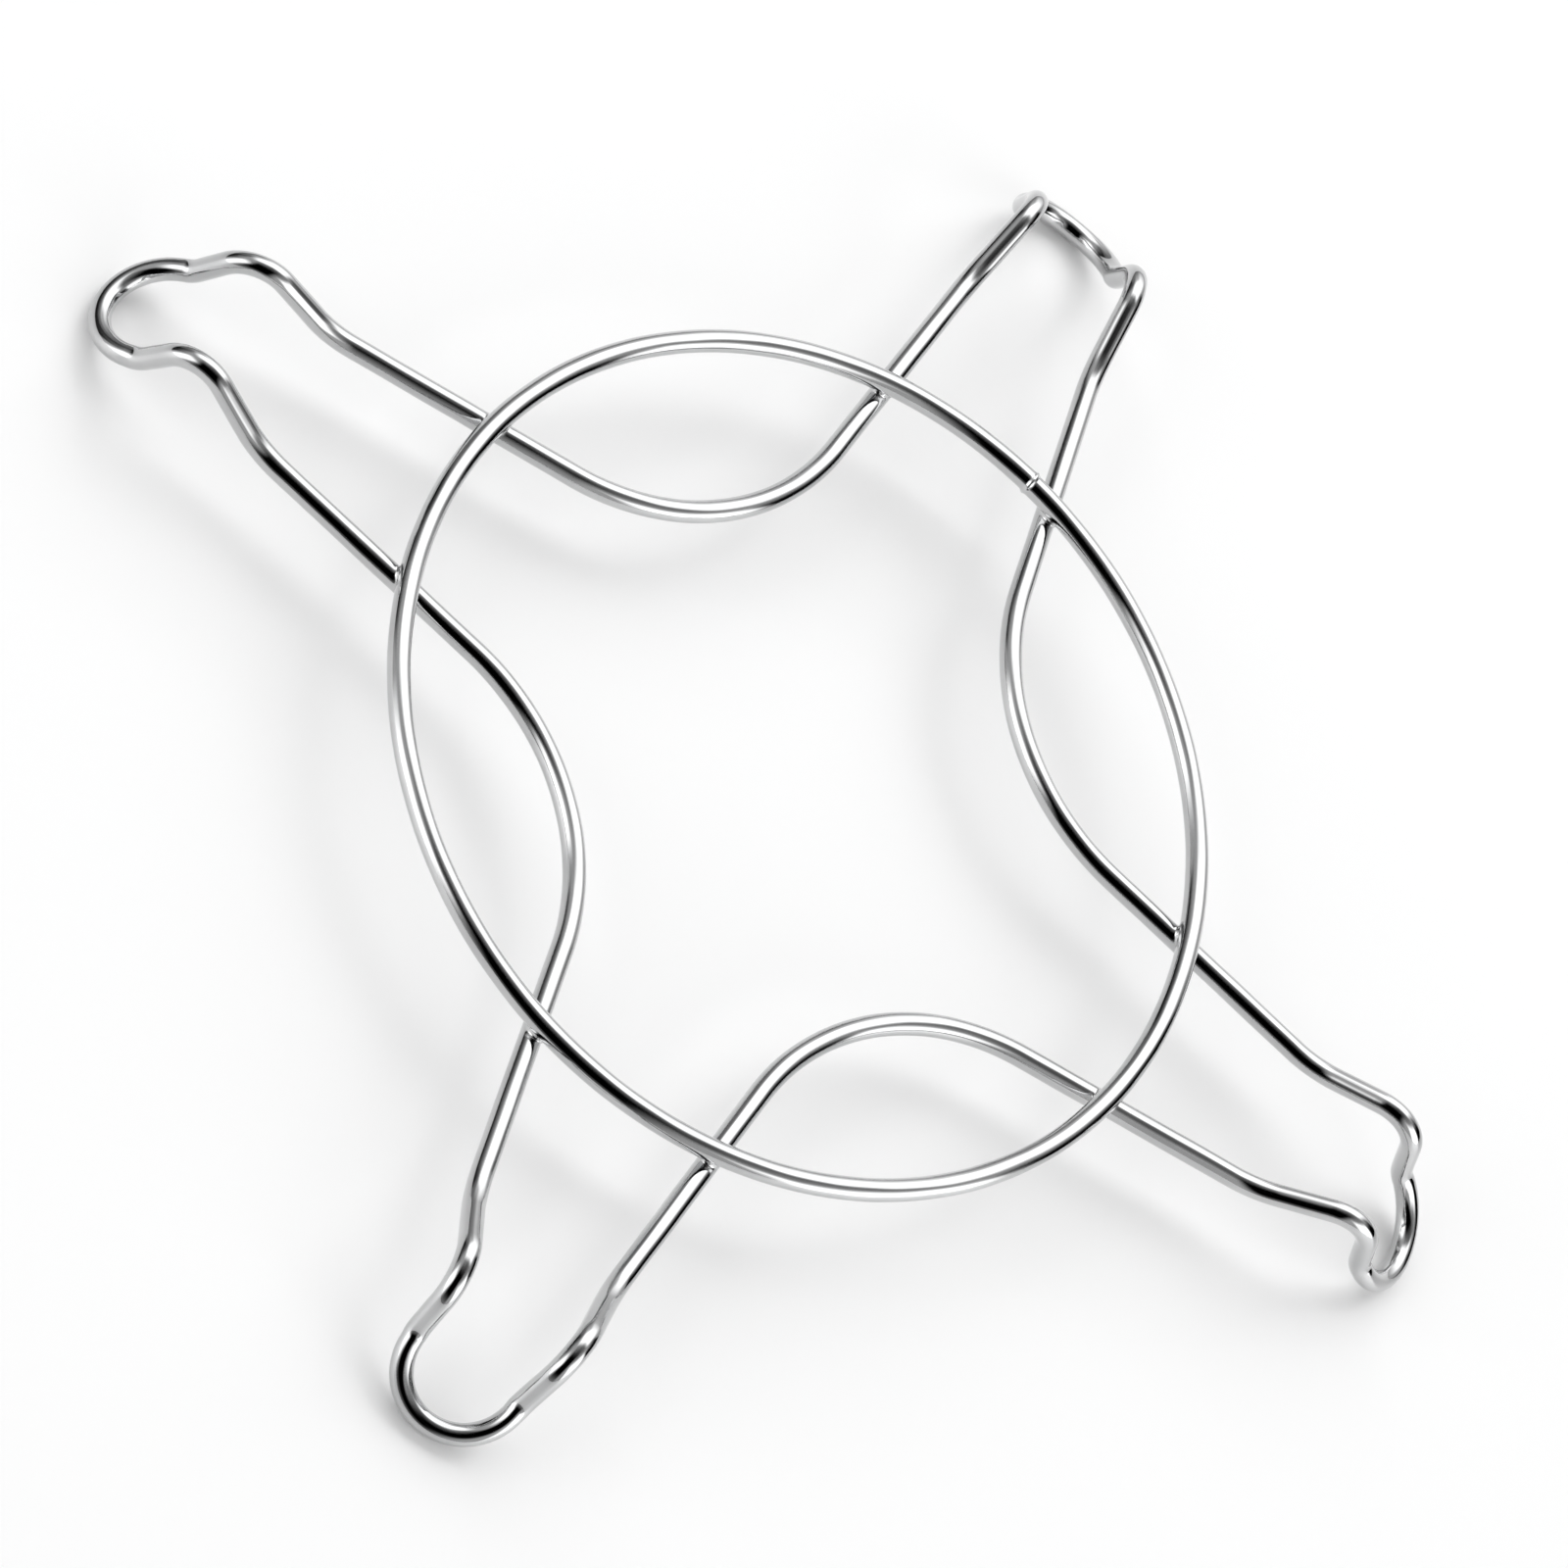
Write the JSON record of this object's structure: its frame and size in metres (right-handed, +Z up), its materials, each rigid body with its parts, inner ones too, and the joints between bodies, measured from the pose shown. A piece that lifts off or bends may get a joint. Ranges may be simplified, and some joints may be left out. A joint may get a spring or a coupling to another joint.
{
  "type": "wok stand",
  "caption": "Bright round-wire wok stand: a welded ring on a cross of hairpin legs that kink up, hump and turn down into loop feet.",
  "frame": {"origin": "under the middle of the ring, on the surface that the foot loops stand on", "axes": "+Z up through the middle of the ring, legs along +X, +Y, -X and -Y"},
  "size_m": [0.2838, 0.2838, 0.0222],
  "materials": {
    "bright_wire": "bright plated steel wire, mirror smooth"
  },
  "bodies": {
    "root": {"support_ring": "bright_wire", "leg_frame": "bright_wire"}
  },
  "joints": []
}
